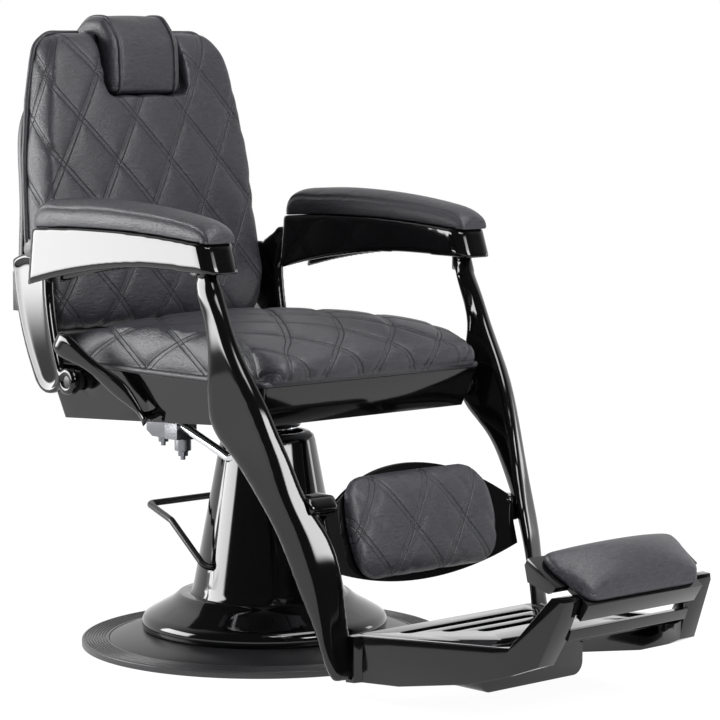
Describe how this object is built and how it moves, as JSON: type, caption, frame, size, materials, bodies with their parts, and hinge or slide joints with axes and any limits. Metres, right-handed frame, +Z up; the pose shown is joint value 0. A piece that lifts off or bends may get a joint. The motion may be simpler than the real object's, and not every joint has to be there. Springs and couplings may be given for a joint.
{
  "type": "barber chair",
  "caption": "Hydraulic barber chair with quilted leather seat and reclining back, linked armrests and legrest, sliding headrest, flip-over foot pad and round pedestal base.",
  "frame": {"origin": "on the floor under the middle of the round base, on the lift axis", "axes": "+Z up; the sitter faces -Y; +X is the sitter's left"},
  "size_m": [0.6662, 1.348, 1.109],
  "materials": {
    "rubber": "ribbed matte",
    "satin_black": "satin",
    "gloss_black": "high gloss",
    "gloss_black_cast": "high gloss black enamel",
    "steel": "brushed",
    "chrome": "polished",
    "cast_aluminium": "as cast",
    "black_leather": "fine grain",
    "plywood": "plain",
    "iron": "satin black",
    "dark_plastic": "satin"
  },
  "bodies": {
    "base": {"rubber_ring": "rubber", "base_plate": "iron", "column_flange": "gloss_black", "front_cover": "gloss_black", "rear_cover": "gloss_black", "hydraulic_cylinder": "steel", "cylinder_gland": "steel", "cylinder_bolts": "steel", "pump_block": "iron"},
    "pedal": {"pump_pedal": "satin_black", "pedal_hubs": "steel"},
    "lift": {"lift_ram": "chrome", "ram_collar": "chrome"},
    "seat": {"mechanism_casting": "cast_aluminium", "lock_bracket": "cast_aluminium", "mechanism_bolts": "steel", "lock_tube": "chrome", "seat_pan": "gloss_black", "seat_board": "plywood", "seat_cushion": "black_leather", "seat_piping": "black_leather", "recline_pins": "steel", "leg_pins": "steel"},
    "lever": {"recline_lever": "gloss_black_cast"},
    "back": {"leaf_bracket_left": "gloss_black_cast", "leaf_bracket_right": "gloss_black_cast", "back_rail": "steel", "back_strap_left": "steel", "back_strap_right": "steel", "back_shell": "dark_plastic", "back_cushion": "black_leather", "back_piping": "black_leather", "headrest_guides": "dark_plastic"},
    "headrest": {"headrest_pad": "black_leather", "headrest_posts": "chrome"},
    "left_armrest": {"arm_shell_left": "gloss_black_cast", "arm_pad_left": "black_leather", "arm_bar_left": "steel"},
    "right_armrest": {"arm_shell_right": "gloss_black_cast", "arm_pad_right": "black_leather", "arm_bar_right": "steel"},
    "legrest": {"leg_left": "gloss_black_cast", "leg_right": "gloss_black_cast", "footrest_platform": "gloss_black_cast", "footrest_side_left": "gloss_black_cast", "footrest_side_right": "gloss_black_cast", "front_rail": "gloss_black_cast", "footrest_skid": "gloss_black_cast", "calf_plate": "gloss_black_cast", "calf_pad": "black_leather", "calf_lug_left": "gloss_black_cast", "calf_lug_right": "gloss_black_cast"},
    "flip": {"flip_tray": "gloss_black_cast", "flip_pad": "black_leather", "flip_pins": "steel"}
  },
  "joints": [
    {"name": "pedal_pump", "type": "hinge", "parent": "base", "child": "pedal", "pos_m": [0, 0, 0.148], "axis": [-1, 0, 0], "range_deg": [0, 24], "stiffness_Nm_per_rad": 12, "springref_deg": -17.19},
    {"name": "lift_slide", "type": "slide", "parent": "base", "child": "lift", "axis": [0, 0, 1], "range_m": [0, 0.16]},
    {"name": "seat_swivel", "type": "hinge", "parent": "lift", "child": "seat", "pos_m": [0, 0, 0.388], "axis": [0, 0, 1], "continuous": true},
    {"name": "lever_pull", "type": "hinge", "parent": "seat", "child": "lever", "pos_m": [-0.252, 0.022, 0.424], "axis": [1, 0, 0], "range_deg": [0, 7], "stiffness_Nm_per_rad": 12, "springref_deg": -11.46},
    {"name": "back_recline", "type": "hinge", "parent": "seat", "child": "back", "pos_m": [0, 0.21, 0.47], "axis": [-1, 0, 0], "range_deg": [0, 38]},
    {"name": "legrest_swing", "type": "hinge", "parent": "seat", "child": "legrest", "pos_m": [0, -0.24, 0.462], "axis": [-1, 0, 0], "range_deg": [0, 38]},
    {"name": "left_armrest_tilt", "type": "hinge", "parent": "back", "child": "left_armrest", "pos_m": [0.29, 0.254, 0.702], "axis": [-1, 0, 0], "range_deg": [-38, 0]},
    {"name": "right_armrest_tilt", "type": "hinge", "parent": "back", "child": "right_armrest", "pos_m": [-0.29, 0.254, 0.702], "axis": [-1, 0, 0], "range_deg": [-38, 0]},
    {"name": "headrest_slide", "type": "slide", "parent": "back", "child": "headrest", "axis": [0, 0.1044, 0.9945], "range_m": [0, 0.1]},
    {"name": "flip_turn", "type": "hinge", "parent": "legrest", "child": "flip", "pos_m": [0, -0.876, 0.2], "axis": [1, 0, 0], "range_deg": [0, 115]}
  ],
  "couplings": [
    {"joint": "legrest_swing", "follows": "back_recline", "ratio": 1},
    {"joint": "left_armrest_tilt", "follows": "back_recline", "ratio": -1},
    {"joint": "right_armrest_tilt", "follows": "back_recline", "ratio": -1}
  ]
}
